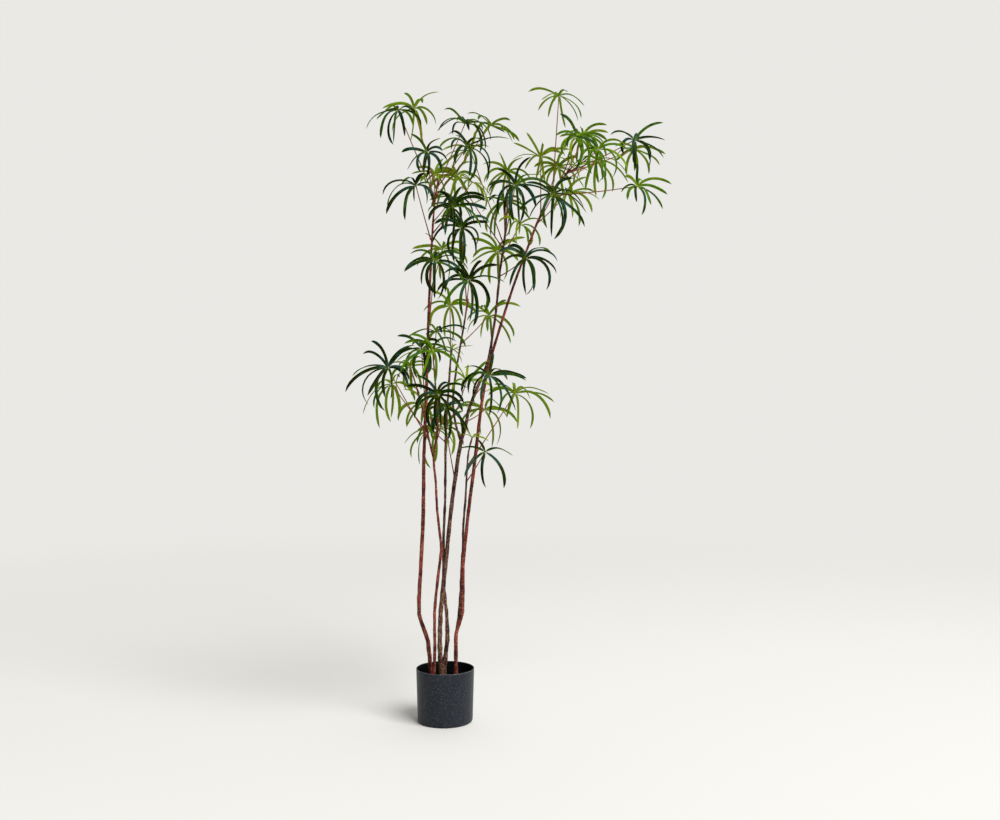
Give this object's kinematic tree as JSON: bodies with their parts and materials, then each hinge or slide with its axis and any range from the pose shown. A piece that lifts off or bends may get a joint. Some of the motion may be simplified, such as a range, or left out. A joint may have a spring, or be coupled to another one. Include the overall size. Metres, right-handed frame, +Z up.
{
  "type": "potted bottle tree",
  "caption": "Slender bottle tree with bare reddish stems and fans of narrow drooping leaflets, growing in a plain round nursery pot.",
  "frame": {"origin": "middle of the pot's flat bottom", "axes": "+Z up, -Y towards the front of the plant, +X to the right"},
  "size_m": [0.9072, 0.4828, 1.8129],
  "materials": {
    "pot": "satin",
    "soil": "matte",
    "red_bark": "matte",
    "dark_bark": "matte",
    "leaf": "satin"
  },
  "bodies": {
    "root": {"pot": "pot", "soil": "soil", "stem_left": "red_bark", "stem_slender": "red_bark", "stem_twin": "dark_bark", "stem_back": "dark_bark", "stem_right": "red_bark", "leaf_01": "leaf", "leaf_02": "leaf", "leaf_03": "leaf", "leaf_04": "leaf", "leaf_05": "leaf", "leaf_06": "leaf", "leaf_07": "leaf", "leaf_08": "leaf", "leaf_09": "leaf", "leaf_10": "leaf", "leaf_11": "leaf", "leaf_12": "leaf", "leaf_13": "leaf", "leaf_14": "leaf", "leaf_15": "leaf", "leaf_16": "leaf", "leaf_17": "leaf", "leaf_18": "leaf", "leaf_19": "leaf", "leaf_20": "leaf", "leaf_21": "leaf", "leaf_22": "leaf", "leaf_23": "leaf", "leaf_24": "leaf", "leaf_25": "leaf", "leaf_26": "leaf", "leaf_27": "leaf", "leaf_28": "leaf", "leaf_29": "leaf", "leaf_30": "leaf", "leaf_31": "leaf", "leaf_32": "leaf", "leaf_33": "leaf", "leaf_34": "leaf", "leaf_35": "leaf", "leaf_36": "leaf", "leaf_37": "leaf", "leaf_38": "leaf", "leaf_39": "leaf", "leaf_40": "leaf", "leaf_41": "leaf", "leaf_42": "leaf", "leaf_43": "leaf", "leaf_44": "leaf", "leaf_45": "leaf", "leaf_46": "leaf", "leaf_47": "leaf", "leaf_48": "leaf", "leaf_49": "leaf", "leaf_50": "leaf", "leaf_51": "leaf", "leaf_52": "leaf", "leaf_53": "leaf"}
  },
  "joints": []
}
